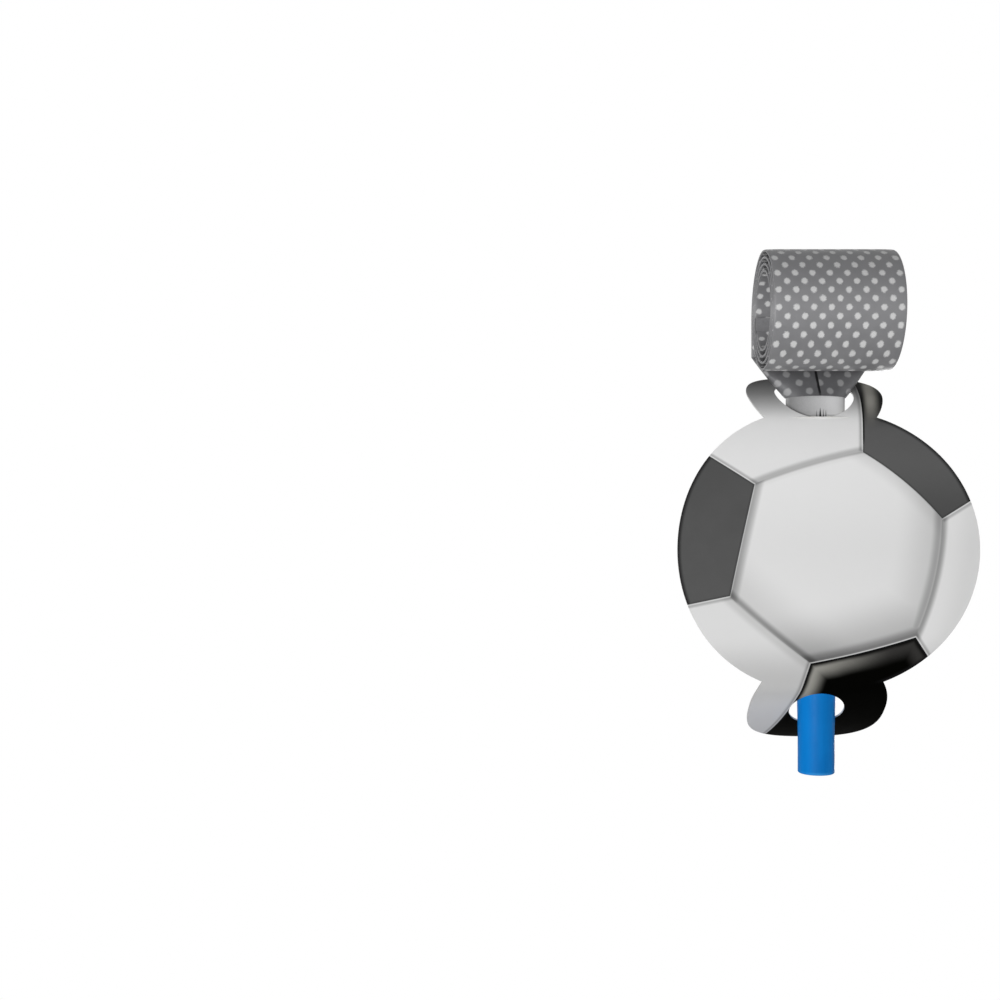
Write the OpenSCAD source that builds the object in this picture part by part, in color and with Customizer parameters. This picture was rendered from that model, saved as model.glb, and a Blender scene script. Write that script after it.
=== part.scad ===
// Party horn blower: a paper tube that rolls up by itself, blown through a plastic mouthpiece.
// +Z runs up the mouthpiece, +Y points away from the viewer, the origin is at the open mouth end.

/* [Mouthpiece] */
// Length of the plastic tube
tube_len = 80; // [72:1:84]
// Outer radius at the mouth end
tube_end_r = 4.6; // [4.2:0.05:4.8]
// Outer radius at the top, inside the paper
tube_top_r = 4.85; // [4.6:0.05:5]
// Length of the straight part at the mouth end
tube_straight = 10; // [9:0.5:12]
// Height where the flare above it ends
flare_top = 22; // [18:1:28]
// Radius of the air bore
tube_bore_r = 3.5; // [3.2:0.05:3.6]
// Radius of the wider seat for the reed
reed_seat_r = 3.75; // [3.7:0.05:4]
// Height of the sloped step between bore and seat
seat_step = 0.5; // [0.3:0.1:1]
// Width of the eased edge at the top of the tube
tube_edge = 0.25; // [0.1:0.05:0.3]

/* [Reed] */
// Length of the reed block
block_len = 16; // [14:0.5:22]
// Depth of the block's top below the top of the tube
block_inset = 4; // [1:0.5:8]
// Thickness of the round plug at the block's top
block_plug = 3; // [2:0.25:4]
// Radial clearance of the block and wedge in their seat
block_fit = 0.05; // [0.02:0.01:0.1]
// Distance of the block's flat in front of the seat's axis
flat_front = 0.3; // [0:0.1:0.8]
// Width of the air channel in the flat
channel_w = 2.6; // [2:0.1:3.2]
// Depth of the air channel below the flat
channel_depth = 2.2; // [1.6:0.1:2.8]
// Wall left below the channel's closed end
channel_end = 2.5; // [1.5:0.25:4]
// Width of the reed tongue
tongue_w = 4.2; // [3.6:0.1:5]
// Thickness of the reed tongue
tongue_t = 0.12; // [0.08:0.01:0.2]
// Depth by which the flat falls away under the free tongue
tongue_lift = 0.3; // [0.25:0.05:0.5]
// Length of tongue held between the flat and the wedge
tongue_held = 4; // [3:0.25:5]
// Running clearance round the held end of the tongue
tongue_fit = 0.05; // [0.03:0.01:0.1]

/* [Paper neck] */
// Thickness of the printed paper
paper_t = 0.18; // [0.12:0.01:0.2]
// Thickness of the plain paper of the collar
collar_t = 0.3; // [0.2:0.05:0.4]
// Half the width of the collar's flattened top
collar_half = 7.5; // [6.8:0.1:8]
// Half the depth of the collar's flattened top
collar_deep = 4.1; // [3.6:0.1:4.2]
// Height of the collar's straight part below the neck
collar_band = 5; // [3.5:0.25:6]
// Length of the collar's sleeve over the plastic tube
tube_grip = 11; // [8:0.5:16]
// Number of pleats round the collar where it gathers
pleats = 16; // [10:1:20]
// Depth of the pleats where they are deepest
pleat_depth = 0.5; // [0.3:0.05:0.6]
// Clearance of one paper layer over another, filled with glue
glue_gap = 0.06; // [0.04:0.01:0.1]
// Height of the neck's lower edge above the mouth end
neck_z = 95.8; // [94.5:0.1:97]
// Distance of the neck's lower edge behind the mouthpiece's axis
neck_back = 1; // [0.6:0.1:1.4]
// Length of neck that overlaps the collar
neck_lap = 1.8; // [1:0.1:2.5]
// Height of the tapered neck
neck_h = 10.5; // [9:0.25:11]

/* [Roll] */
// Width of the flattened paper tube
roll_w = 31.4; // [26:0.2:34]
// Outer radius of the roll where it leaves the neck
roll_r = 15.6; // [14.5:0.1:16]
// Spacing of one turn inside the next
turn_pitch = 1.6; // [1.4:0.05:1.8]
// Thickness of the flattened tube, both walls and the air space
flat_t = 0.8; // [0.76:0.01:0.9]
// Height of the roll's centre above the mouth end
roll_z = 115.7; // [115.5:0.1:118]
// Distance of the flattened tube's back behind the mouthpiece's axis
roll_back = 4.8; // [4.4:0.1:5.4]
// Gap between one stiff length of the tube and the next
link_gap = 0.2; // [0.1:0.05:0.3]
// Diameter of the spring wire
wire_d = 0.4; // [0.3:0.02:0.42]
// Length of the folded strip on the closed end
seal_len = 4; // [3:0.5:6]
// Thickness of each flap of the folded strip
seal_t = 0.15; // [0.1:0.01:0.2]

/* [Medallion card] */
// Radius of the round face
card_r = 37.1; // [35:0.1:39]
// Thickness of the card
card_t = 0.45; // [0.3:0.05:0.5]
// Height of the face's centre above the mouth end
card_z = 57.3; // [56.8:0.1:57.8]
// Distance of the face's centre in front of the mouthpiece's axis
card_front = 13.6; // [13.2:0.1:14]
// Radius of the face's bow above its centre
upper_bow_r = 68; // [66:0.5:70]
// Radius of the face's bow below its centre
lower_bow_r = 92; // [89:0.5:95]
// Radius of the bend at the root of the upper tab
upper_bend_r = 19; // [18:0.25:20]
// Radius of the bend at the root of the lower tab
lower_bend_r = 8; // [7:0.25:9]
// Height of the upper bend's centre above the face's centre
upper_bend_up = 22.25; // [21.5:0.05:23]
// Depth of the lower bend's centre below the face's centre
lower_bend_down = 30.8; // [30:0.05:31.6]
// Radius of the upper tab's own curl
upper_curl_r = 60; // [50:1:80]
// Radius of the lower tab's own curl
lower_curl_r = 65; // [55:1:80]
// Radius of the upper tab's round outline
upper_tab_r = 17.2; // [16:0.1:18]
// Half the width of the lower tab
lower_tab_half = 17.3; // [16:0.1:18]
// Half the length of the lower tab
lower_tab_run = 17.5; // [16:0.1:19]
// Distance of the upper tab's and hole's centre from the face's centre, along the card
upper_reach = 44.2; // [43.8:0.1:44.6]
// Distance of the lower tab's and hole's centre from the face's centre, along the card
lower_reach = 44.5; // [44.1:0.1:44.9]
// Radius of the upper hole, which the paper passes through
upper_hole_r = 10; // [9.6:0.1:10.6]
// Radius of the lower hole, which the mouthpiece passes through
lower_hole_r = 6.95; // [6.7:0.05:7.4]

/* [Hidden] */
LINKS = 24;
PER_TURN = 6;
link_turn = 360 / PER_TURN;
overrun = 1;
round_fn = 96;
soft_fn = 48;
wire_fn = 24;
degrees_per_radian = 180 / PI;

function two(n) = str(n < 10 ? "0" : "", n);

blue = [0.11, 0.45, 0.75];
steel = [0.72, 0.73, 0.75];
reed_white = [0.88, 0.88, 0.84];
reed_amber = [0.85, 0.62, 0.25];
plain_white = [0.9, 0.9, 0.9];
print_grey = [0.47, 0.47, 0.48];
card_white = [0.86, 0.86, 0.87];

// Reed, from the top of the tube down
block_r = reed_seat_r - block_fit;
block_top = tube_len - block_inset;
plug_z = block_top - block_plug;
block_z = block_top - block_len;
held_z = plug_z - tongue_held;
tongue_y = -flat_front - tongue_fit - tongue_t;
tongue_len = plug_z - block_z - tongue_fit;
wedge_y = tongue_y - tongue_fit;

// Flattened tube and roll, in the plane across the roll
tube_mid_y = roll_back - flat_t / 2;
mid_r = roll_r - flat_t / 2;
step_r = turn_pitch / PER_TURN;
hollow_t = flat_t - 2 * paper_t;
neck_top = neck_z + neck_h;
root_top = roll_z - link_gap / 2;
function link_r(n) = mid_r - step_r * (n - 1);
function link_centre(n) =
    n == 1
    ? [roll_back - roll_r, roll_z]
    : link_centre(n - 1) + step_r * [cos((n - 1) * link_turn), sin((n - 1) * link_turn)];

// Closed skin with a hole through it, from two stacks of rings with as many points each
module ring_tube(outer, inner) {
    sides = len(outer[0]);
    last = len(outer) - 1;
    inside = len(outer) * sides;
    function at(ring, side) = ring * sides + side % sides;
    wall = [
        for (k = [0:last - 1], s = [0:sides - 1])
        each [
            [at(k, s), at(k + 1, s), at(k + 1, s + 1)],
            [at(k, s), at(k + 1, s + 1), at(k, s + 1)]
        ]
    ];
    lining = [for (f = wall) [inside + f[2], inside + f[1], inside + f[0]]];
    ends = [
        for (s = [0:sides - 1])
        each [
            [at(0, s), at(0, s + 1), inside + at(0, s + 1)],
            [at(0, s), inside + at(0, s + 1), inside + at(0, s)],
            [at(last, s + 1), at(last, s), inside + at(last, s)],
            [at(last, s + 1), inside + at(last, s), inside + at(last, s + 1)]
        ]
    ];
    points = concat([for (ring = outer) each ring], [for (ring = inner) each ring]);
    polyhedron(points, concat(wall, lining, ends));
}

module mouthpiece_tube() {
    color(blue)
    rotate_extrude($fn = round_fn)
    polygon([
        [tube_bore_r, 0],
        [tube_end_r, 0],
        [tube_end_r, tube_straight],
        [tube_top_r, flare_top],
        [tube_top_r, tube_len - tube_edge],
        [tube_top_r - tube_edge, tube_len],
        [reed_seat_r, tube_len],
        [reed_seat_r, block_z],
        [tube_bore_r, block_z - seat_step]
    ]);
}

// Clears the front of the block from a height up to another, back to a distance from the axis
module front_cut(low, high, back) {
    reach = block_r + overrun;
    translate([-reach, -reach, low]) cube([2 * reach, reach + back, high - low]);
}

// Half-round block with a stepped flat in front, an air channel in the flat and a round plug on top
module reed_block() {
    color(reed_white)
    difference() {
        translate([0, 0, block_z]) cylinder(r = block_r, h = block_len, $fn = round_fn);
        front_cut(block_z - overrun, plug_z, -flat_front);
        front_cut(block_z - overrun, held_z, tongue_lift - flat_front);
        translate([-channel_w / 2, -flat_front - overrun, block_z + channel_end])
        cube([channel_w, channel_depth + overrun, block_len]);
    }
}

// Wedge that holds the top of the tongue against the block
module reed_wedge() {
    color(reed_white)
    intersection() {
        translate([0, 0, held_z]) cylinder(r = block_r, h = tongue_held, $fn = round_fn);
        translate([-block_r, wedge_y - block_r, held_z])
        cube([2 * block_r, block_r, tongue_held]);
    }
}

module reed_tongue() {
    color(reed_amber)
    translate([-tongue_w / 2, tongue_y, block_z])
    cube([tongue_w, tongue_t, tongue_len]);
}

// Collar: a round sleeve on the plastic tube, gathered pleats, and a flattened oval top
sleeve_r = tube_top_r + glue_gap + collar_t;
collar_sides = 6 * pleats;
neck_start_half = collar_half + glue_gap + paper_t;
neck_start_deep = collar_deep + glue_gap + paper_t;
lap_share = neck_lap / neck_h;
lap_deep = neck_deep(lap_share) - paper_t - glue_gap;
gather_steps = 6;
function collar_ring(half, deep, back, z, fold) = [
    for (s = [0:collar_sides - 1])
    let (a = 360 * s / collar_sides, sunk = fold * (1 - cos(a * pleats)) / 2)
    [(half - sunk) * cos(a), back + (deep - sunk) * sin(a), z]
];
function gather_ring(share, inset) = collar_ring(
    sleeve_r + (collar_half - sleeve_r) * share - inset,
    sleeve_r + (collar_deep - sleeve_r) * share - inset,
    neck_back * share,
    tube_len + (neck_z - collar_band - tube_len) * share,
    pleat_depth * sin(180 * share)
);
function collar_rings(inset) = concat(
    [collar_ring(sleeve_r - inset, sleeve_r - inset, 0, tube_len - tube_grip, 0)],
    [for (k = [0:gather_steps]) gather_ring(k / gather_steps, inset)],
    [collar_ring(collar_half - inset, collar_deep - inset, neck_back, neck_z, 0)],
    [collar_ring(collar_half - inset, lap_deep - inset, neck_mid(lap_share), neck_z + neck_lap, 0)]
);

module collar_paper() {
    color(plain_white) ring_tube(collar_rings(0), collar_rings(collar_t));
}

// Neck: an oval over the collar that widens and flattens upwards
neck_levels = 8;
round_power = 2;
flat_power = 10;
widen_power = 0.9;
function neck_half(share) = neck_start_half + (roll_w / 2 - neck_start_half) * share ^ widen_power;
function neck_deep(share) = neck_start_deep + (flat_t / 2 - neck_start_deep) * share;
function neck_mid(share) = neck_back + (tube_mid_y - neck_back) * share;
function neck_ring(share, inset) =
    let (
        half = neck_half(share) - inset,
        deep = neck_deep(share) - inset,
        power = 2 / (round_power + (flat_power - round_power) * share ^ 2)
    )
    [
        for (s = [0:soft_fn - 1])
        let (a = 360 * s / soft_fn)
        [
            half * sign(cos(a)) * abs(cos(a)) ^ power,
            neck_mid(share) + deep * sign(sin(a)) * abs(sin(a)) ^ power,
            neck_z + neck_h * share
        ]
    ];

module neck_paper() {
    color(print_grey)
    ring_tube(
        [for (k = [0:neck_levels]) neck_ring(k / neck_levels, 0)],
        [for (k = [0:neck_levels]) neck_ring(k / neck_levels, paper_t)]
    );
}

// Section of the flattened tube, its width across the roll
module tube_section() {
    difference() {
        square([flat_t, roll_w], center = true);
        square([hollow_t, roll_w - 2 * paper_t], center = true);
    }
}

module paper_tube_root() {
    color(print_grey)
    translate([0, tube_mid_y, neck_top])
    linear_extrude(root_top - neck_top)
    rotate(90)
    tube_section();
}

module spring_wire_root() {
    color(steel)
    translate([0, tube_mid_y, neck_top])
    cylinder(d = wire_d, h = root_top - neck_top, $fn = wire_fn);
}

// Sweeps a section along one stiff length of the spiral, between two shares of its arc
module link_sweep(n, from_share = 0, to_share = 1) {
    gap_turn = asin(link_gap / 2 / link_r(n));
    arc = link_turn - 2 * gap_turn;
    translate([0, link_centre(n)[0], link_centre(n)[1]])
    rotate([90, 0, 90])
    rotate([0, 0, (n - 1) * link_turn + gap_turn + arc * from_share])
    rotate_extrude(angle = arc * (to_share - from_share), $fn = round_fn)
    translate([link_r(n), 0])
    children();
}

module paper_tube(n) {
    color(print_grey) link_sweep(n) tube_section();
}

module spring_wire(n) {
    color(steel) link_sweep(n) circle(d = wire_d, $fn = wire_fn);
}

// Folded strip glued over the end of the paper tube
module end_seal() {
    around_w = roll_w + 2 * glue_gap;
    around_t = flat_t + 2 * glue_gap;
    seal_share = seal_len * degrees_per_radian / (link_r(LINKS) * link_turn);
    color(plain_white)
    link_sweep(LINKS, 1 - seal_share, 1)
    difference() {
        square([around_t + 2 * seal_t, around_w + 2 * seal_t], center = true);
        square([around_t, around_w], center = true);
    }
}

// Card: each half leaves the upright centre of the face and turns back along three arcs.
// An arc is its radius and the slope from upright, in degrees, where it ends.
sheet_steps = 28;
outline_fn = 72;
tab_power = 2.5;
sheet_y = card_t / 2 - card_front;
upper_bow_slope = asin(upper_bend_up / (upper_bow_r - upper_bend_r));
lower_bow_slope = asin(lower_bend_down / (lower_bow_r - lower_bend_r));
upper_arcs = [[upper_bow_r, upper_bow_slope], [upper_bend_r, 63], [upper_curl_r, 90]];
lower_arcs = [[lower_bow_r, lower_bow_slope], [lower_bend_r, 44], [lower_curl_r, 90]];
upper_end = upper_reach + upper_tab_r;
lower_end = lower_reach + lower_tab_run;
face_upper = card_r ^ 2 - upper_tab_r ^ 2 + upper_reach ^ 2;
upper_root = face_upper / (2 * upper_reach);
face_lower = card_r ^ 2 - lower_tab_run ^ 2 + lower_reach ^ 2;
lower_root = face_lower / (2 * lower_reach);

// Middle of the sheet at a run along it from the face's centre: [y, z, slope]
function sheet_at(run, arcs, side, i = 0, from = [sheet_y, card_z], slope = 0) =
    let (
        r = arcs[i][0],
        arc_run = r * (arcs[i][1] - slope) / degrees_per_radian,
        here = run <= arc_run || i == len(arcs) - 1,
        to = here ? slope + run / r * degrees_per_radian : arcs[i][1],
        point = from + r * [cos(slope) - cos(to), side * (sin(to) - sin(slope))]
    )
    here ? [point[0], point[1], to] : sheet_at(run - arc_run, arcs, side, i + 1, point, to);
function sheet_edge(arcs, side, end, offset) = [
    for (k = [0:sheet_steps])
    let (p = sheet_at((end + overrun) * k / sheet_steps, arcs, side))
    [p[0] + offset * cos(p[2]), p[1] - side * offset * sin(p[2])]
];
function reversed(list) = [for (i = [len(list) - 1:-1:0]) list[i]];
function past_first(list) = [for (i = [1:len(list) - 1]) list[i]];
function face_and_tabs(offset) = concat(
    reversed(past_first(sheet_edge(lower_arcs, -1, lower_end, offset))),
    sheet_edge(upper_arcs, 1, upper_end, offset)
);

module bent_sheet() {
    rotate([90, 0, 90])
    linear_extrude(2 * (card_r + overrun), center = true)
    polygon(concat(face_and_tabs(card_t / 2), reversed(face_and_tabs(-card_t / 2))));
}

// Die that cuts an outline of [x, run along the card] square to the sheet where its slope is lean
module die(lean, side, outline) {
    arcs = side > 0 ? upper_arcs : lower_arcs;
    rotate([side * (90 - lean), 0, 0])
    linear_extrude(4 * (card_r + card_z), center = true)
    polygon([
        for (q = outline)
        let (p = sheet_at(q[1], arcs, side))
        [q[0], p[0] * sin(lean) + side * p[1] * cos(lean)]
    ]);
}

function oval(half, run, centre, power) = [
    for (s = [0:outline_fn - 1])
    let (a = 360 * s / outline_fn)
    [
        half * sign(cos(a)) * abs(cos(a)) ^ (2 / power),
        centre + run * sign(sin(a)) * abs(sin(a)) ^ (2 / power)
    ]
];
upper_lean = 60;
lower_lean = 50;
upper_tab = oval(upper_tab_r, upper_tab_r, upper_reach, round_power);
lower_tab = oval(lower_tab_half, lower_tab_run, lower_reach, tab_power);
function clipped(outline, low) = [for (q = outline) [q[0], max(q[1], low)]];
function half_face(root) = [
    for (s = [0:outline_fn / 2])
    let (a = 360 * s / outline_fn)
    [card_r * cos(a), min(card_r * sin(a), root + overrun)]
];

module medallion_card() {
    color(card_white)
    intersection() {
        bent_sheet();
        difference() {
            union() {
                die(0, 1, half_face(upper_root));
                die(0, -1, half_face(lower_root));
                die(upper_lean, 1, clipped(upper_tab, upper_root));
                die(lower_lean, -1, clipped(lower_tab, lower_root));
            }
            die(upper_lean, 1, oval(upper_hole_r, upper_hole_r, upper_reach, round_power));
            die(lower_lean, -1, oval(lower_hole_r, lower_hole_r, lower_reach, round_power));
        }
    }
}
mouthpiece_tube();
reed_block();
reed_wedge();
reed_tongue();
collar_paper();
neck_paper();
paper_tube_root();
spring_wire_root();
medallion_card();
end_seal();
for (n = [1:LINKS]) paper_tube(n);
for (n = [1:LINKS]) spring_wire(n);
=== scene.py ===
import math

import bmesh
import bpy
from mathutils import Matrix, Vector


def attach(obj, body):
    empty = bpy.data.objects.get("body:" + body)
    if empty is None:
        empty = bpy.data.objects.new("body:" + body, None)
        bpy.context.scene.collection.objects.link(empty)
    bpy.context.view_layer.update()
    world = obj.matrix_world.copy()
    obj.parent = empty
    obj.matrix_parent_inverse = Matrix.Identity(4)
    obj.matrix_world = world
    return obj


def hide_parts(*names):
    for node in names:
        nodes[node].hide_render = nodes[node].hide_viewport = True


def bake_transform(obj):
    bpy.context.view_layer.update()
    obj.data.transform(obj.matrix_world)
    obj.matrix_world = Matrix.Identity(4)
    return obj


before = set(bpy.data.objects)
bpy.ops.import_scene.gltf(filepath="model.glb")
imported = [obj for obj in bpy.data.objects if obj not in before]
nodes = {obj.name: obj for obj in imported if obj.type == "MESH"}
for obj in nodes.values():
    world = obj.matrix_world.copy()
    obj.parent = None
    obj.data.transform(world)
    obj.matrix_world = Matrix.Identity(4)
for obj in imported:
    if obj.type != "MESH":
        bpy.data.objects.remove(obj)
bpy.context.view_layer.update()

MM = 0.001

# ------------------------------------------------------- sizes in millimetres

# plastic tube: radii of the bore, the mouth end, the body and the reed's seat, and the heights where they change
BORE_R, MOUTH_R, BODY_R, SEAT_R = 3.5, 4.6, 4.85, 3.75
STRAIGHT_TOP, FLARE_TOP, BORE_TOP, SEAT_FOOT, TUBE_TOP = 10.0, 22.0, 59.5, 60.0, 80.0

# collar: foot, height of the gathers and of the lap in the neck; sleeve's radius, oval's half width and half depth
SLEEVE_FOOT, GATHER_HIGH, LAP = 69.0, 10.8, 1.8
SLEEVE_R, OVAL_HALF, OVAL_DEEP, COLLAR_WALL = 5.21, 7.5, 4.1, 0.3
PLEATS, PLEAT_DEEP = 16, 0.5

# printed tube: wall, gap for the glue, half width and half thickness where it is flat
PAPER, GLUE, TUBE_HALF, HALF_FLAT = 0.18, 0.06, 15.7, 0.4

# coil of its middle line: lengths and the degrees of each, first centre and radius, and distance of the turns
LINKS, ARC = 24, 60
COIL_Y, COIL_Z, COIL_R, TURN_PITCH = -10.8, 115.7, 15.2, 1.6
STEP = TURN_PITCH / (360 // ARC)
WIRE_R = 0.2

# neck: foot and top, and at the foot its half width, half depth and middle
NECK_FOOT, NECK_TOP = 95.8, 106.3
NECK_HALF, NECK_DEEP, NECK_BACK = 7.74, 4.34, 1.0
NECK_HIGH, ROOT = NECK_TOP - NECK_FOOT, COIL_Z - NECK_TOP

# card: thickness, radius, centre of the face at half its thickness; radius and last degree of each bend from there
CARD_T, CARD_R, FACE_Y, FACE_Z = 0.45, 37.1, -13.375, 57.3
UPPER_BENDS = ((68.0, 27.006), (19.0, 63.0), (60.0, 999.0))
LOWER_BENDS = ((92.0, 21.510), (8.0, 44.0), (65.0, 999.0))
# tabs: middle, half width, half length, roundness, radius of the hole, line where the tab meets the face, side
TABS = ((44.2, 17.2, 17.2, 2.0, 10.0, 34.324, 1), (-44.5, 17.3, 17.5, 2.5, 6.95, -33.883, -1))

# ---------------------------------------------------------------- materials


def ink(red, green, blue):
    """A colour as a printer or paint card gives it, 0 to 255, made linear."""
    shares = [c / 255 for c in (red, green, blue)]
    return (*(((c + 0.055) / 1.055) ** 2.4 if c > 0.04 else c / 12.92 for c in shares), 1.0)


BLACK = (0.0, 0.0, 0.0, 1.0)


class Value:
    """One output of a material's nodes, with the usual signs for its maths."""

    def __init__(self, finish, socket):
        self.finish, self.socket = finish, socket

    def maths(self, operation, *terms):
        return self.finish.add("ShaderNodeMath", {"operation": operation}, terms)

    def __add__(self, other):
        return self.maths("ADD", self, other)

    def __sub__(self, other):
        return self.maths("SUBTRACT", self, other)

    def __mul__(self, other):
        return self.maths("MULTIPLY", self, other)

    def __neg__(self):
        return self * -1.0

    def __abs__(self):
        return self.maths("ABSOLUTE", self)

    def __and__(self, other):
        return self.maths("MINIMUM", self, other)

    def __or__(self, other):
        return self.maths("MAXIMUM", self, other)

    __radd__ = __add__

    def root(self):
        return self.maths("SQRT", self)

    def power(self, exponent):
        return self.maths("POWER", self, exponent)

    def wrap(self, period):
        """Distance from the nearest multiple of the period, with its sign."""
        return self.maths("WRAP", self, period / 2, -period / 2)

    def rise(self, low, high):
        """0 below low and 1 above high, with a soft step between; high may be the smaller."""
        soft = {"interpolation_type": "SMOOTHSTEP"}
        return self.finish.add("ShaderNodeMapRange", soft, {0: self, 1: low, 2: high, 3: 0.0, 4: 1.0})

    def steps(self, *amounts):
        """1, raised or lowered by soft steps, each from low to high by so much."""
        level = 1.0
        for low, high, amount in amounts:
            level = self.rise(low, high) * amount + level
        return level


class Finish:
    """A material whose nodes are all added by one method."""

    def __init__(self, name, **fixed):
        self.material = bpy.data.materials.new(name)
        self.material.use_nodes = True
        self.tree = self.material.node_tree
        self.shader = self.tree.nodes["Principled BSDF"]
        for socket, value in fixed.items():
            self.shader.inputs[socket.replace("_", " ")].default_value = value

    def add(self, kind, settings=(), sockets=(), out=0):
        node = self.tree.nodes.new(kind)
        for setting, value in dict(settings).items():
            setattr(node, setting, value)
        pairs = sockets.items() if isinstance(sockets, dict) else enumerate(sockets)
        for key, value in pairs:
            if isinstance(value, Value):
                self.tree.links.new(value.socket, node.inputs[key])
            else:
                node.inputs[key].default_value = value
        return Value(self, node.outputs[out])

    def place(self):
        """The piece's own coordinates in millimetres."""
        spot = self.add("ShaderNodeTexCoord", out=3)
        return self.add("ShaderNodeVectorMath", {"operation": "SCALE"}, {0: spot, 3: 1000.0})

    def print_map(self):
        """Millimetres on the flat sheet, before it was rolled or bent."""
        return self.add("ShaderNodeUVMap", {"uv_map": "flat"})

    def parts(self, vector):
        cut = self.tree.nodes.new("ShaderNodeSeparateXYZ")
        self.tree.links.new(vector.socket, cut.inputs[0])
        return [Value(self, s) for s in cut.outputs]

    def noise(self, vector, scale, detail=2.0, roughness=0.5):
        sockets = {"Vector": vector, "Scale": scale, "Detail": detail, "Roughness": roughness}
        return self.add("ShaderNodeTexNoise", {}, sockets)

    def stretch(self, vector, amounts):
        return self.add("ShaderNodeVectorMath", {"operation": "MULTIPLY"}, {0: vector, 1: amounts})

    def mix(self, share, first, second):
        return self.add("ShaderNodeMix", {"data_type": "RGBA"}, {0: share, 6: first, 7: second}, out=2)

    def give(self, **links):
        for socket, value in links.items():
            self.tree.links.new(value.socket, self.shader.inputs[socket.replace("_", " ")])
        return self

    def bump(self, height, depth, strength=1.0):
        """Relief of so many millimetres from a height of 0 to 1."""
        sockets = {"Strength": strength, "Distance": depth * MM, "Height": height}
        return self.give(Normal=self.add("ShaderNodeBump", {}, sockets))


def dots(across, along, pitch_across, pitch_along, offset, radius, blur):
    """A square net of round dots with one more in the middle of each square: 1 on a dot."""
    first = (across.wrap(pitch_across), along.wrap(pitch_along))
    second = ((across + offset).wrap(pitch_across), (along + pitch_along / 2).wrap(pitch_along))
    near = [(a * a + b * b).root() for a, b in (first, second)]
    return (near[0] & near[1]).rise(radius + blur, radius - blur)


def mouthpiece_plastic():
    f = Finish("mouthpiece_plastic", Roughness=0.5, IOR=1.49, Specular_IOR_Level=0.07)
    spot = f.place()
    flow = f.noise(f.stretch(spot, (0.5, 0.5, 0.06)), 1.0, 3.0)
    cloud = f.noise(spot, 0.12, 2.0)
    colour = f.mix(flow.rise(0.3, 0.7), ink(8, 108, 182), ink(12, 116, 192))
    colour = f.mix(cloud.rise(0.3, 0.75) * 0.5, colour, ink(6, 98, 170))
    x, y, z = f.parts(spot)
    # painted highlight: a lighter band round the mouth end's rounded rim
    colour = f.mix(z.rise(1.0, 0.3) * 0.45, colour, ink(70, 160, 222))
    # painted light: the front is lighter and bluer towards its left and its right side
    front = y.rise(2.0, -1.0)
    colour = f.mix(x.rise(-0.5, -4.2) * front * 0.75, colour, ink(4, 124, 208))
    colour = f.mix(x.rise(1.0, 4.2) * front * 0.85, colour, ink(24, 134, 220))
    f.give(Base_Color=colour, Roughness=f.noise(spot, 0.8).rise(0.2, 0.8) * 0.12 + 0.42)
    return f.bump(flow * 0.6 + f.noise(spot, 2.2, 4.0) * 0.4, 0.03, 0.5)


def reed_plastic():
    f = Finish("reed_plastic", Roughness=0.5)
    spot = f.place()
    f.give(Base_Color=f.mix(f.noise(spot, 0.6, 4.0), ink(222, 221, 210), ink(236, 235, 226)))
    return f.bump(f.noise(spot, 6.0, 3.0), 0.02)


def reed_film():
    f = Finish("reed_film", Roughness=0.22)
    spot = f.place()
    streak = f.noise(f.stretch(spot, (6.0, 1.0, 0.25)), 1.0, 3.0)
    f.give(Base_Color=f.mix(streak, ink(196, 138, 48), ink(222, 168, 76)))
    return f.bump(streak, 0.01)


def fibres(f, spot):
    """Paper fibres: short hairs in two directions over a soft cloud."""
    upright, level = (f.noise(f.stretch(spot, fine), 1.0, 2.0) for fine in ((9.0, 9.0, 1.6), (1.6, 9.0, 9.0)))
    return (upright + level) * 0.35 + f.noise(spot, 0.9, 4.0) * 0.3


FOLD_LONG = 2.2


def plain_paper():
    f = Finish("plain_paper", Roughness=0.78, Specular_IOR_Level=0.25)
    spot = f.place()
    fibre = fibres(f, spot)
    colour = f.mix(fibre.rise(0.3, 0.7), ink(176, 176, 177), ink(192, 192, 193))
    # painted light: the front above the card is lighter towards its right
    x, y, z = f.parts(spot)
    lit = y.rise(1.0, -1.0) * z.rise(89.0, 91.0)
    colour = f.mix((x.rise(-1.0, 6.5) * 0.75 + 0.2) * lit, colour, ink(220, 220, 221))
    # ends of the gathers, short folds that run to a point above, painted dark as the shade in their creases
    front = y.rise(-1.0, -2.0)
    shaded_folds = 0.0
    for side, top, wide in ((0.35, 93.1, 0.26), (1.15, 92.7, 0.16), (1.8, 92.5, 0.16), (-0.55, 92.4, 0.14)):
        apart = abs(x - side) + (z - top + FOLD_LONG) * (wide / FOLD_LONG)
        shaded_folds = apart.rise(wide + 0.08, wide - 0.1) * z.rise(top, top - 0.5) + shaded_folds
    colour = f.mix((shaded_folds & 1.0) * front, colour, ink(34, 34, 35))
    # soft shadow of the card's rim over the left of the front
    f.give(Base_Color=f.mix(x.rise(4.5, -9.0) * 0.62 * lit, colour, BLACK))
    return f.bump(fibre - shaded_folds * front, 0.06)


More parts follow.
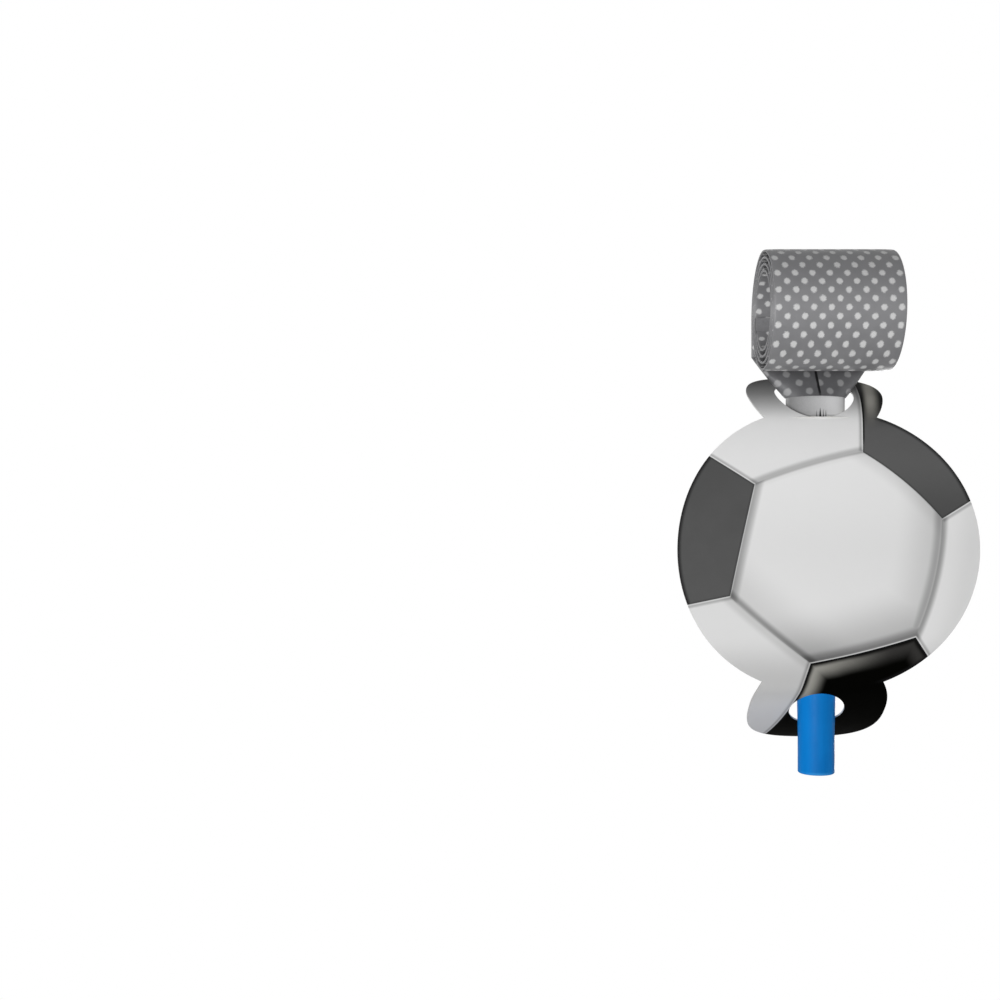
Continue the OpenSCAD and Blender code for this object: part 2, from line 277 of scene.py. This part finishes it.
def printed_paper(name, neck):
    """Grey print with pale dots; the neck's is darker as painted shade, with a seam painted dark as the shade in
    its slit, and the roll's has frayed dots, a painted highlight along its front and painted shade at its top.
    """
    f = Finish(name, Roughness=0.42, Specular_IOR_Level=0.42)
    spot = f.place()
    sheet = f.print_map()
    smear = f.noise(sheet, 0.9, 2.0) * 0.5 - 0.25
    x, z = f.parts(sheet)[:2]
    if neck:
        dot = dots(x + 2.2 + smear, z - 101.6 + smear, 5.25, 4.55, -3.0, 0.85, 0.26)
        # painted shade: the neck's grey and its dots are darker than the roll's
        ground, pale = ink(97, 97, 99), ink(152, 152, 153)
    else:
        up = z - DOT_LINE
        fray = f.noise(sheet, 3.1, 3.0, 0.7) * 1.5 - 0.75
        dot = dots(x + 0.15 + smear * 0.8, up + smear * 0.8, 4.15, 4.08, -2.07, fray * 0.5 + 0.72, 0.22)
        dot = dot * (f.noise(sheet, 4.4, 2.0, 0.7) * 0.7 + 0.55)
        ground, pale = ink(116, 116, 118), ink(208, 208, 208)
    cloud = f.noise(sheet, 0.35, 4.0)
    height = fibres(f, spot) * 0.4 + f.noise(sheet, 0.5, 2.0) * 0.6
    grey = f.mix(cloud.rise(0.25, 0.75), ground, [c * 1.1 for c in ground[:3]] + [1.0])
    if not neck:
        # painted highlight: a lighter band along the front; painted shade: a darker top
        grey = f.mix(abs(up - 1.0).rise(7.0, 0.5) * 0.2, grey, ink(150, 150, 152))
        grey = f.mix(up.rise(-9.0, -12.5) * up.rise(-22.0, -18.0) * 0.45, grey, ink(84, 84, 86))
    colour = f.mix((dot & 1.0) * 0.95, grey, pale)
    if neck:
        # painted shade: the seam's slit is dark with the shade in it, and sunk in the relief
        seam = abs(x - 0.2 + (z - 101.9) * 0.03).rise(0.42, 0.16) * z.rise(95.2, 97.0) * z.rise(104.5, 102.0)
        colour = f.mix(seam, colour, ink(26, 26, 27))
        height = height - seam * 3.0
    f.give(Base_Color=colour, Roughness=cloud * 0.2 + 0.34)
    return f.bump(height, 0.07)


def spring_steel():
    f = Finish("spring_steel", Roughness=0.3, Metallic=1.0)
    sheet = f.print_map()
    drawn = f.noise(f.stretch(sheet, (8.0, 0.2, 1.0)), 1.0, 2.0)
    f.give(Base_Color=f.mix(drawn, ink(176, 178, 182), ink(204, 205, 208)))
    return f.bump(drawn, 0.01)


# ------------------------------------------------------- the card's printing

# middle panel on the flat card: centre, corners, how far each edge bows out, and where the seams run out to
MIDDLE = Vector((2.34, -2.23, 0))
CORNERS = [(-17.69, 16.40), (9.24, 24.65), (28.06, 7.36), (22.19, -21.53), (-3.68, -28.56), (-24.06, -11.68)]
BOWS = [0.6, 0.95, 1.1, 0.47, 0.3, 0.3]
SEAM_ENDS = [(-29.15, 24.14), (11.92, 50.71), (35.41, 11.85), (25.96, -27.08), (-10.15, -56.53), (-33.84, -13.75)]
# soft shading across each edge of the middle panel: steps from low to high, in millimetres outside it
SEAMS = [
    [(-1.8, -0.7, -0.025), (-0.8, 0.1, -0.24), (0.5, 1.9, 0.19)],
    [(-4.0, 0.0, -0.07), (0.0, 0.6, -0.03)],
    [
        (-12.0, -1.0, -0.10), (-2.8, -0.9, -0.18), (-0.7, -0.35, 0.045), (-0.35, 0.05, -0.115), (0.1, 1.7, 0.30),
        (2.0, 8.0, -0.04),
    ],
    [(-15.0, 0.0, -0.19), (-3.0, -0.8, -0.21), (-0.8, -0.1, 0.13), (-0.1, 0.3, -0.07)],
    [(-12.0, -1.5, -0.08), (-2.1, -0.55, -0.27), (-0.6, 0.5, 0.20), (0.8, 2.6, 0.08)],
    [(-2.5, -0.9, -0.20), (-0.95, -0.3, 0.125)],
]
# the same towards the piping round a black panel, and painted light and shade along the card where it bends away
# from the light
PIPING = [(-1.0, -0.2, -0.215), (-0.2, 0.1, 0.125)]
BEND_LIGHT_AND_SHADE = [
    (-2.0, 26.0, 0.107), (33.0, 41.0, -0.21), (38.0, 60.0, -0.43), (-21.0, -34.0, -0.14), (-35.0, -43.0, 0.045),
]


def arc_between(start, end, bow):
    """Centre and radius of the arc through two points that bows away from the middle by so much."""
    a, b = Vector((*start, 0)), Vector((*end, 0))
    half = (b - a).length / 2
    radius = (half * half + bow * bow) / (2 * bow)
    out = Vector((-(b - a).y, (b - a).x, 0)).normalized()
    if out.dot((a + b) / 2 - MIDDLE) < 0:
        out = -out
    return (a + b) / 2 + out * (bow - radius), radius


def card_print():
    """Black and white six-sided panels of a ball with shaded seams, on coated card."""
    f = Finish("card_print", Roughness=0.55, Specular_IOR_Level=0.01)
    sheet = f.print_map()
    x, run = f.parts(sheet)[:2]
    flat = f.add("ShaderNodeCombineXYZ", {}, (x, run, 0.0))

    def outside(corner):
        """Millimetres outside the middle panel's edge that starts at this corner."""
        centre, radius = arc_between(CORNERS[corner], CORNERS[(corner + 1) % 6], BOWS[corner])
        return f.add("ShaderNodeVectorMath", {"operation": "DISTANCE"}, (flat, centre), out=1) - radius

    def clockwise(corner):
        """Millimetres clockwise of the seam that runs out from this corner."""
        start, end = Vector((*CORNERS[corner], 0)), Vector((*SEAM_ENDS[corner], 0))
        side = Vector(((end - start).y, -(end - start).x, 0)).normalized()
        return f.add("ShaderNodeVectorMath", {"operation": "DOT_PRODUCT"}, (flat, side), out=1) - side.dot(start)

    edges = [outside(c) for c in range(6)]
    seams = [clockwise(c) for c in range(6)]
    wedges = [seams[c] & -seams[(c + 1) % 6] for c in range(6)]
    panels = [edges[c] & wedges[c] for c in range(6)]
    dark = ((edges[1] + 0.25) & wedges[1]) | panels[3] | ((edges[5] + 0.22) & wedges[5])
    border = ((edges[1] - 0.6) & wedges[1]) | panels[3] | ((edges[5] + 0.1) & wedges[5])
    inside = (edges[0] | edges[1] | edges[2] | edges[3] | edges[4] | edges[5]).rise(0.15, -0.15)
    across_seams = []
    for corner, amounts in enumerate(SEAMS):
        reach = inside if corner in (1, 3, 5) else inside | wedges[corner].rise(-0.4, 0.2)
        across_seams.append((edges[corner].steps(*amounts) - 1.0) * reach + 1.0)
    top, upper_right, right, bottom, lower_left, left = across_seams
    level = inside * (run.rise(4.0, 22.0) * -0.012 - 0.043) + 0.9
    # the shading towards the piping is print; the steps along the bends are painted light and shade
    level = border.steps(*PIPING) * run.steps(*BEND_LIGHT_AND_SHADE) * level
    level = level * top * upper_right * (right & bottom) * lower_left * left
    pale = f.mix(run.rise(-34.0, -46.0) * 0.5, ink(253, 253, 253), ink(247, 248, 255))
    white = f.mix(level.power(2.2), BLACK, pale)
    # inks of the three black panels, with painted light, shade and highlights in the upper right and lower ones
    # painted light: the upper right panel is lighter towards the top, where the card bends away; painted shade:
    # darker on the tab
    upper = f.mix(run.rise(6.0, 24.0), ink(77, 77, 77), ink(96, 96, 96))
    upper = f.mix(run.rise(30.0, 38.0), upper, ink(36, 36, 36))
    # painted highlight: a lighter upright band on the upper tab
    across = x - run * 0.16
    glow = across.rise(5.0, 6.7) * across.rise(9.9, 7.2) * run.rise(30.5, 43.0)
    upper = f.mix(glow, upper, ink(176, 174, 167))
    # painted sheen: a brownish light band along the lower panel's seams, brightest at its left; elsewhere it is
    # deep black ink
    within = panels[3] + f.noise(sheet, 0.15, 1.0) * 0.8
    lower = f.mix((x - run * 0.25).rise(2.0, 24.0), ink(146, 145, 139), ink(50, 49, 48))
    deep_black = within.rise(2.3, 6.2) | within.rise(2.3, 1.0) | run.rise(-37.0, -43.0)
    lower = f.mix(deep_black, lower, ink(2, 2, 1))
    side = f.mix(f.noise(sheet, 0.12, 2.0), ink(80, 80, 80), ink(88, 88, 88))
    black = f.mix(panels[1].rise(-0.1, 0.1), side, upper)
    black = f.mix(panels[3].rise(-0.1, 0.1), black, lower)
    rim = (x * x + run * run).root().rise(35.9, 36.9) * abs(run).rise(34.5, 33.0)
    line = dark.rise(0.9, 0.5) * (0.25 + (panels[3].rise(-0.1, 0.1) | run.rise(26.0, 29.0)) * 0.75)
    black = f.mix(line | rim * 0.8, black, ink(22, 22, 23))
    colour = f.mix(dark.rise(0.22, 0.32), white, black)
    speck = f.noise(sheet, 1.6, 5.0)
    colour = f.mix(speck.rise(0.55, 0.8) * 0.01, colour, ink(60, 60, 60))
    f.give(Base_Color=colour, Roughness=f.noise(sheet, 0.25, 3.0) * 0.16 + 0.48)
    return f.bump(speck * 0.3 + f.noise(sheet, 0.08, 2.0) * 0.7, 0.05)


def card_back(name, low, high):
    f = Finish(name, Roughness=0.85, Specular_IOR_Level=0.2)
    spot = f.place()
    fibre = fibres(f, spot)
    f.give(Base_Color=f.mix(fibre.rise(0.3, 0.7), ink(*low), ink(*high)))
    return f.bump(fibre, 0.05)


# ------------------------------------------------------------------- shaping


def finished(name, shape, finishes, sharp=40):
    """The shape as an object, in the place where it was made; edges above the angle stay crisp."""
    for edge in shape.edges:
        edge.smooth = edge.is_manifold and edge.calc_face_angle(0.0) < math.radians(sharp)
    for face in shape.faces:
        face.smooth = True
    mesh = bpy.data.meshes.new(name)
    shape.to_mesh(mesh)
    shape.free()
    for finish in finishes:
        mesh.materials.append(finish.material)
    piece = bpy.data.objects.new(name, mesh)
    bpy.context.scene.collection.objects.link(piece)
    return piece


def drawn_up(sides, levels, place):
    """A ring drawn up level by level; place turns an angle and a level into a point and its flat spot."""
    shape = bmesh.new()
    bmesh.ops.create_circle(shape, segments=sides, radius=1)
    rim = shape.edges[:]
    for _ in range(levels):
        drawn = bmesh.ops.extrude_edge_only(shape, edges=rim)["geom"]
        moved = {g for g in drawn if isinstance(g, bmesh.types.BMVert)}
        bmesh.ops.translate(shape, verts=list(moved), vec=(0, 0, 1))
        rim = [g for g in drawn if isinstance(g, bmesh.types.BMEdge) and moved.issuperset(g.verts)]
    flat = shape.loops.layers.uv.new("flat")
    spots = {}
    for v in shape.verts:
        where, spots[v] = place(math.atan2(v.co.y, v.co.x), round(v.co.z))
        v.co = [MM * c for c in where]
    for face in shape.faces:
        for loop in face.loops:
            loop[flat].uv = spots[loop.vert]
    bmesh.ops.recalc_face_normals(shape, faces=shape.faces)
    # an open ring can come out inside out, and its widest face tells
    widest = max(shape.faces, key=lambda face: face.calc_center_median().x)
    widest.normal_update()
    if widest.normal.x < 0:
        bmesh.ops.reverse_faces(shape, faces=shape.faces)
    return shape


def walled(shape, wall):
    """The skin with a wall of so many millimetres inside it and closed rims."""
    bmesh.ops.solidify(shape, geom=shape.faces[:], thickness=wall * MM)
    return shape


def power_of(value, power):
    return math.copysign(abs(value) ** power, value)


# ------------------------------------------------------- mouthpiece and reed


def mouthpiece():
    """Turned on its axis from half its section, with rounded rims and the seat of the reed at its top."""
    section = [
        (BORE_R, 0.0), (MOUTH_R, 0.0), (MOUTH_R, STRAIGHT_TOP), (BODY_R, FLARE_TOP),
        (BODY_R, TUBE_TOP), (SEAT_R, TUBE_TOP), (SEAT_R, SEAT_FOOT), (BORE_R, BORE_TOP),
    ]
    rims = ((MOUTH_R, 0.0, 0.4), (BORE_R, 0.0, 0.3), (BODY_R, TUBE_TOP, 0.25), (SEAT_R, TUBE_TOP, 0.2))
    shape = bmesh.new()
    corners = [shape.verts.new((r * MM, 0, z * MM)) for r, z in section]
    outline = [shape.edges.new((a, b)) for a, b in zip(corners, corners[1:] + corners[:1])]
    bmesh.ops.subdivide_edges(shape, edges=[outline[3], outline[7]], cuts=12)
    bmesh.ops.spin(
        shape, geom=shape.edges[:], cent=(0, 0, 0), axis=(0, 0, 1), angle=math.tau, steps=96, use_merge=True
    )
    bmesh.ops.remove_doubles(shape, verts=shape.verts, dist=1e-6)
    bmesh.ops.recalc_face_normals(shape, faces=shape.faces)

    def ring(radius, z):
        return [
            e for e in shape.edges
            if all(abs(v.co.z - z * MM) < 1e-6 and abs(v.co.xy.length - radius * MM) < 1e-6 for v in e.verts)
        ]

    for edges, size in [(ring(radius, z), size) for radius, z, size in rims]:
        bmesh.ops.bevel(
            shape, geom=edges, offset=size * MM, offset_type="OFFSET", segments=4, profile=0.5, affect="EDGES",
            material=-1, clamp_overlap=True,
        )
    piece = finished("blue_mouthpiece", shape, [mouthpiece_plastic()], 30)
    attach(piece, "mouthpiece")
    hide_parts("mouthpiece_tube")


# ---------------------------------------------------------- collar and neck


def between(start, end, share):
    return start + (end - start) * share


def neck_section(share):
    """Half width, half depth, middle and roundness of the neck at a share of its height."""
    half = between(NECK_HALF, TUBE_HALF, share ** 0.9)
    deep = between(NECK_DEEP, HALF_FLAT, share)
    return half, deep, between(NECK_BACK, COIL_Y + COIL_R, share), 2 / (2 + 8 * share * share)


def collar():
    """Paper wrapped on the plastic tube, gathered in pleats above it and flattened to an oval under the neck."""
    levels = 46
    _, lap_deep, lap_back, _ = neck_section(LAP / NECK_HIGH)

    def place(angle, level):
        z = between(SLEEVE_FOOT, NECK_FOOT + LAP, level / levels)
        share = min(max((z - TUBE_TOP) / GATHER_HIGH, 0), 1)
        lap = max((z - NECK_FOOT) / LAP, 0)
        half = between(SLEEVE_R, OVAL_HALF, share)
        deep = between(between(SLEEVE_R, OVAL_DEEP, share), lap_deep - PAPER - GLUE, lap)
        back = between(NECK_BACK * share, lap_back, lap)
        wander = 0.35 * math.sin(3 * angle + 1.0) + 0.2 * math.sin(5 * angle + share * 2.0)
        pleat = (1 - math.cos(PLEATS * angle + wander)) / 2
        sunk = PLEAT_DEEP * math.sin(math.pi * share) * pleat ** 1.6
        return ((half - sunk) * math.cos(angle), back + (deep - sunk) * math.sin(angle), z), (angle * 6, z)

    shape = walled(drawn_up(256, levels, place), COLLAR_WALL)
    piece = finished("gathered_collar", shape, [plain_paper()], 55)
    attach(piece, "mouthpiece")
    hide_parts("collar_paper")


def neck():
    """Printed paper glued round the collar, widening and flattening into the tube; its foot sags at the sides."""
    levels = 26

    def place(angle, level):
        share = level / levels
        half, deep, back, power = neck_section(share)
        x = half * power_of(math.cos(angle), power)
        y = back + deep * power_of(math.sin(angle), power)
        z = NECK_FOOT + NECK_HIGH * share
        sag = 0.45 * (math.cos(angle) ** 2 - 0.3) * (1 - share) ** 4
        return (x, y, z - sag), (x, z)

    shape = walled(drawn_up(128, levels, place), PAPER)
    piece = finished("dotted_neck", shape, [printed_paper("neck_print", True)], 55)
    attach(piece, "mouthpiece")
    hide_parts("neck_paper")


# --------------------------------------------------------------------- roll

# in degrees: where the straight root starts below the coil, where its blend starts, and the step of the levels
ROOT_START, BLEND_START, LEVEL_TURN = -math.degrees(ROOT / COIL_R), -16, 2.5


def direction(turn):
    return math.cos(math.radians(turn)), math.sin(math.radians(turn))


def coil_centre(link):
    y, z = COIL_Y, COIL_Z
    for k in range(1, link):
        y += STEP * direction(ARC * k)[0]
        z += STEP * direction(ARC * k)[1]
    return y, z


def coil_radius(link):
    return COIL_R - STEP * (link - 1)


def along_coil(turn):
    """Point, outward direction and length from the neck on the middle line, at degrees from the coil's start."""
    if turn <= 0:
        rise = ROOT + math.radians(turn) * COIL_R
        return (COIL_Y + COIL_R, NECK_TOP + rise), (1.0, 0.0), rise
    link = min(int(turn // ARC) + 1, LINKS)
    y, z = coil_centre(link)
    out = direction(turn)
    length = ROOT + sum(math.radians(ARC) * coil_radius(k) for k in range(1, link))
    length += math.radians(turn - ARC * (link - 1)) * coil_radius(link)
    return (y + coil_radius(link) * out[0], z + coil_radius(link) * out[1]), out, length


# degree by degree, how much the print is stretched over the top and the bottom of the outer turn
PRINT_R, MOST_SLACK = 15.0, 0.3
EASED = [0.0]
for turn in range(360):
    front = direction(turn - 180)[0]
    slack = min(1 - front, MOST_SLACK) if front > 0 else MOST_SLACK * max(1 + front * 2, 0)
    EASED.append(EASED[-1] + slack * math.radians(PRINT_R))


def print_run(turn):
    """How far up the print a turn of the coil lies, in millimetres."""
    place = min(max(turn, 0), 359.999)
    whole = int(place)
    return along_coil(turn)[2] - between(EASED[whole], EASED[whole + 1], place - whole)


# a row of dots lies a little below the middle of the roll's front
DOT_LINE = print_run(180) - 1.0


def stretch_of(turns, sides, place_round):
    """A length of the coil between two turns, its section put round the middle line by place_round."""
    first, last = turns
    levels = max(4, round((last - first) / LEVEL_TURN))

    def place(angle, level):
        turn = first + (last - first) * level / levels
        (y, z), out, _ = along_coil(turn)
        x, off = place_round(angle)
        return (x, y + off * out[0], z + off * out[1]), (x, print_run(turn))

    return drawn_up(sides, levels, place)


def flattened(angle):
    """Flattened paper tube: nearly flat faces and folded sides."""
    return TUBE_HALF * power_of(math.cos(angle), 0.22), HALF_FLAT * power_of(math.sin(angle), 0.25)


def round_wire(angle):
    return WIRE_R * math.cos(angle), WIRE_R * math.sin(angle)


def roll():
    """The rolled tube and the wire in it, in lengths that each cross one hinge and meet in the stiff middles."""
    paper, steel = printed_paper("roll_print", False), spring_steel()
    for k in range(LINKS + 1):
        first = ROOT_START if k == 0 else ARC * k - ARC / 2
        last = ARC * k + ARC / 2 if k < LINKS else ARC * LINKS
        tube = walled(stretch_of((first, last), 48, flattened), PAPER)
        wire = stretch_of((first, last), 10, round_wire)
        bmesh.ops.holes_fill(wire, edges=wire.edges, sides=0)
        bmesh.ops.recalc_face_normals(wire, faces=wire.faces)
        number = "root" if k == 0 else f"{k:02d}"
        for name, node, slot, shape, finish in (
            ("dotted_tube_", "paper_tube_", "printed_paper", tube, paper),
            ("coiled_wire_", "spring_wire_", "spring_steel", wire, steel),
        ):
            piece = finished(name + number, shape, [finish], 55)
            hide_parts(node + number)
            if k == LINKS:
                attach(piece, f"link_{k:02d}")
                continue
            (y0, z0), _, _ = along_coil(max(first, BLEND_START))
            (y1, z1), _, _ = along_coil(last)
            y0 * MM
            z0 * MM
            y1 * MM
            z1 * MM
            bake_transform(piece)


# --------------------------------------------------------------------- card


def bent(run):
    """Depth and height of the card's front at a distance up the flat card from the face's centre."""
    side = 1 if run >= 0 else -1
    y, z, slope, left = FACE_Y, FACE_Z, 0.0, abs(run)
    for radius, until in UPPER_BENDS if side > 0 else LOWER_BENDS:
        step = min(left, radius * math.radians(until) - radius * slope)
        after = slope + step / radius
        y += radius * (math.cos(slope) - math.cos(after))
        z += side * radius * (math.sin(after) - math.sin(slope))
        left -= step
        slope = after
        if left <= 0:
            break
    return y - CARD_T / 2 * math.cos(slope), z + side * CARD_T / 2 * math.sin(slope)


def lobe(shape, middle, half, long, power, hole, cut, side):
    """One tab of the flat card with its hole, from the line where it meets the face outwards."""
    made = bmesh.ops.create_circle(shape, segments=180, radius=1, cap_ends=True)["verts"]
    for v in made:
        v.co = (half * power_of(v.co.x, 2 / power), middle + long * power_of(v.co.y, 2 / power), 0)
    faces = {face for v in made for face in v.link_faces}
    edges = {edge for v in made for edge in v.link_edges}
    kept = bmesh.ops.bisect_plane(
        shape, geom=[*made, *edges, *faces], plane_co=(0, cut, 0), plane_no=(0, -side, 0), clear_outer=True
    )["geom"]
    outline = [g for g in kept if isinstance(g, bmesh.types.BMEdge) and g.is_valid]
    sheet = [g for g in kept if isinstance(g, bmesh.types.BMFace) and g.is_valid]
    bmesh.ops.delete(shape, geom=sheet, context="FACES_ONLY")
    centre = Matrix.Translation((0, middle, 0))
    ring = bmesh.ops.create_circle(shape, segments=120, radius=hole, matrix=centre)["verts"]
    inner = {edge for v in ring for edge in v.link_edges}
    bmesh.ops.triangle_fill(shape, use_beauty=True, use_dissolve=False, edges=[*outline, *inner])


def card():
    """Cut flat, printed, then bent back above and below over the mouthpiece."""
    shape = bmesh.new()
    bmesh.ops.create_circle(shape, segments=288, radius=CARD_R, cap_ends=True)
    for *_, cut, side in TABS:
        bmesh.ops.bisect_plane(
            shape, geom=[*shape.verts, *shape.edges, *shape.faces], plane_co=(0, cut, 0), plane_no=(0, side, 0),
            clear_outer=True,
        )
    for tab in TABS:
        lobe(shape, *tab)
    welds = [v for v in shape.verts if any(abs(v.co.y - cut) < 0.01 for *_, cut, _ in TABS)]
    bmesh.ops.remove_doubles(shape, verts=welds, dist=0.2)
    # creases across the whole card at every tenth of a millimetre with a corner, so that it bends without a ripple
    for height in sorted({round(v.co.y, 1) for v in shape.verts}):
        bmesh.ops.bisect_plane(
            shape, geom=[*shape.verts, *shape.edges, *shape.faces], dist=0.051, plane_co=(0, height, 0),
            plane_no=(0, 1, 0),
        )
    flat = shape.loops.layers.uv.new("flat")
    for face in shape.faces:
        for loop in face.loops:
            loop[flat].uv = loop.vert.co.xy
        face.normal_update()
    for v in shape.verts:
        y, z = bent(v.co.y)
        v.co = (v.co.x * MM, y * MM, z * MM)
    bmesh.ops.triangulate(shape, faces=[face for face in shape.faces if len(face.verts) > 4])
    bmesh.ops.recalc_face_normals(shape, faces=shape.faces)
    shape.normal_update()
    if sum(face.normal.y * face.calc_area() for face in shape.faces) > 0:
        bmesh.ops.reverse_faces(shape, faces=shape.faces)
    finishes = [
        card_print(), card_back("card_back", (196, 195, 190), (208, 207, 203)),
        card_back("card_rim", (206, 206, 204), (222, 222, 221)),
    ]
    piece = finished("ball_card", shape, finishes, 180)
    board = piece.modifiers.new("board", "SOLIDIFY")
    board.thickness, board.offset = CARD_T * MM, -1
    board.material_offset, board.material_offset_rim = 1, 2
    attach(piece, "medallion")
    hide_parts("medallion_card")


# -------------------------------------------------------------------- build

mouthpiece()
collar()
neck()
roll()
card()
for node, finish in (
    ("reed_block", reed_plastic()), ("reed_wedge", reed_plastic()), ("reed_tongue", reed_film()),
    ("end_seal", card_back("seal_paper", (116, 116, 118), (130, 130, 132))),
):
    nodes[node].data.materials.clear()
    nodes[node].data.materials.append(finish.material)

# -------------------------------------------- floor, light and camera, in metres

FLOOR_Z, FLOOR_R = -0.25, 2.0
ROOM_LIGHT = 0.12


def floor():
    """Pale round floor below; it keeps its shadow near the middle and fades to the white beyond."""
    shape = bmesh.new()
    level = Matrix.Translation((0, 0, FLOOR_Z))
    bmesh.ops.create_circle(shape, segments=96, radius=FLOOR_R, cap_ends=True, matrix=level)
    f = Finish("pale_floor", Roughness=0.9)
    spot = f.place()
    x, y = f.parts(spot)[:2]
    far = (x * x + y * y).root().rise(200.0, 460.0)
    f.give(Base_Color=f.mix(f.noise(spot, 0.01, 2.0), ink(236, 236, 235), ink(240, 240, 239)))
    seen = f.add("ShaderNodeLightPath") | f.add("ShaderNodeLightPath", out=3) | f.add("ShaderNodeLightPath", out=6)
    glow = f.add("ShaderNodeEmission", {}, {"Color": (1, 1, 1, 1), "Strength": 1.0})
    both = f.add("ShaderNodeMixShader", {}, {0: far * seen, 1: Value(f, f.shader.outputs[0]), 2: glow})
    f.tree.links.new(both.socket, f.tree.nodes["Material Output"].inputs[0])
    finished("pale_floor", shape, [f])


def lamp(name, place, target, size, watts):
    light = bpy.data.lights.new(name, "AREA")
    light.shape, light.size, light.energy = "DISK", size, watts
    holder = bpy.data.objects.new(name, light)
    bpy.context.scene.collection.objects.link(holder)
    holder.location = place
    holder.rotation_euler = (Vector(target) - Vector(place)).to_track_quat("-Z", "Y").to_euler()


def studio():
    """A dim white room, plain white where the camera, a glossy or a clear surface looks at it, and two lamps."""
    world = bpy.data.worlds.new("white_room")
    bpy.context.scene.world = world
    world.use_nodes = True
    tree = world.node_tree
    room, out = tree.nodes["Background"], tree.nodes["World Output"]
    room.inputs["Color"].default_value = (1, 1, 1, 1)
    room.inputs["Strength"].default_value = ROOM_LIGHT
    white = tree.nodes.new("ShaderNodeBackground")
    white.inputs["Color"].default_value = (1, 1, 1, 1)
    white.inputs["Strength"].default_value = 1.0
    path = tree.nodes.new("ShaderNodeLightPath")
    either, any_of = tree.nodes.new("ShaderNodeMath"), tree.nodes.new("ShaderNodeMath")
    either.operation = any_of.operation = "MAXIMUM"
    tree.links.new(path.outputs["Is Camera Ray"], either.inputs[0])
    tree.links.new(path.outputs["Is Glossy Ray"], either.inputs[1])
    tree.links.new(either.outputs[0], any_of.inputs[0])
    tree.links.new(path.outputs["Is Transmission Ray"], any_of.inputs[1])
    blend = tree.nodes.new("ShaderNodeMixShader")
    tree.links.new(any_of.outputs[0], blend.inputs[0])
    tree.links.new(room.outputs[0], blend.inputs[1])
    tree.links.new(white.outputs[0], blend.inputs[2])
    tree.links.new(blend.outputs[0], out.inputs["Surface"])
    lamp("front_light", (-0.34, -0.76, 0.0), (0, -0.01, 0.07), 0.34, 5.5)
    lamp("back_light", (0.25, 0.8, 0.02), (0, 0, 0.09), 0.5, 4.2)


def camera():
    """Level with the card, to its left, as the picture was taken."""
    eye = bpy.data.cameras.new("camera")
    eye.sensor_width, eye.lens = 36.0, 49.41
    holder = bpy.data.objects.new("camera", eye)
    bpy.context.scene.collection.objects.link(holder)
    holder.location = (-0.0806, -0.350, 0.0695)
    holder.rotation_euler = (math.radians(90), 0, 0)
    bpy.context.scene.camera = holder


floor()
studio()
camera()
bpy.context.scene.view_settings.view_transform = "Standard"
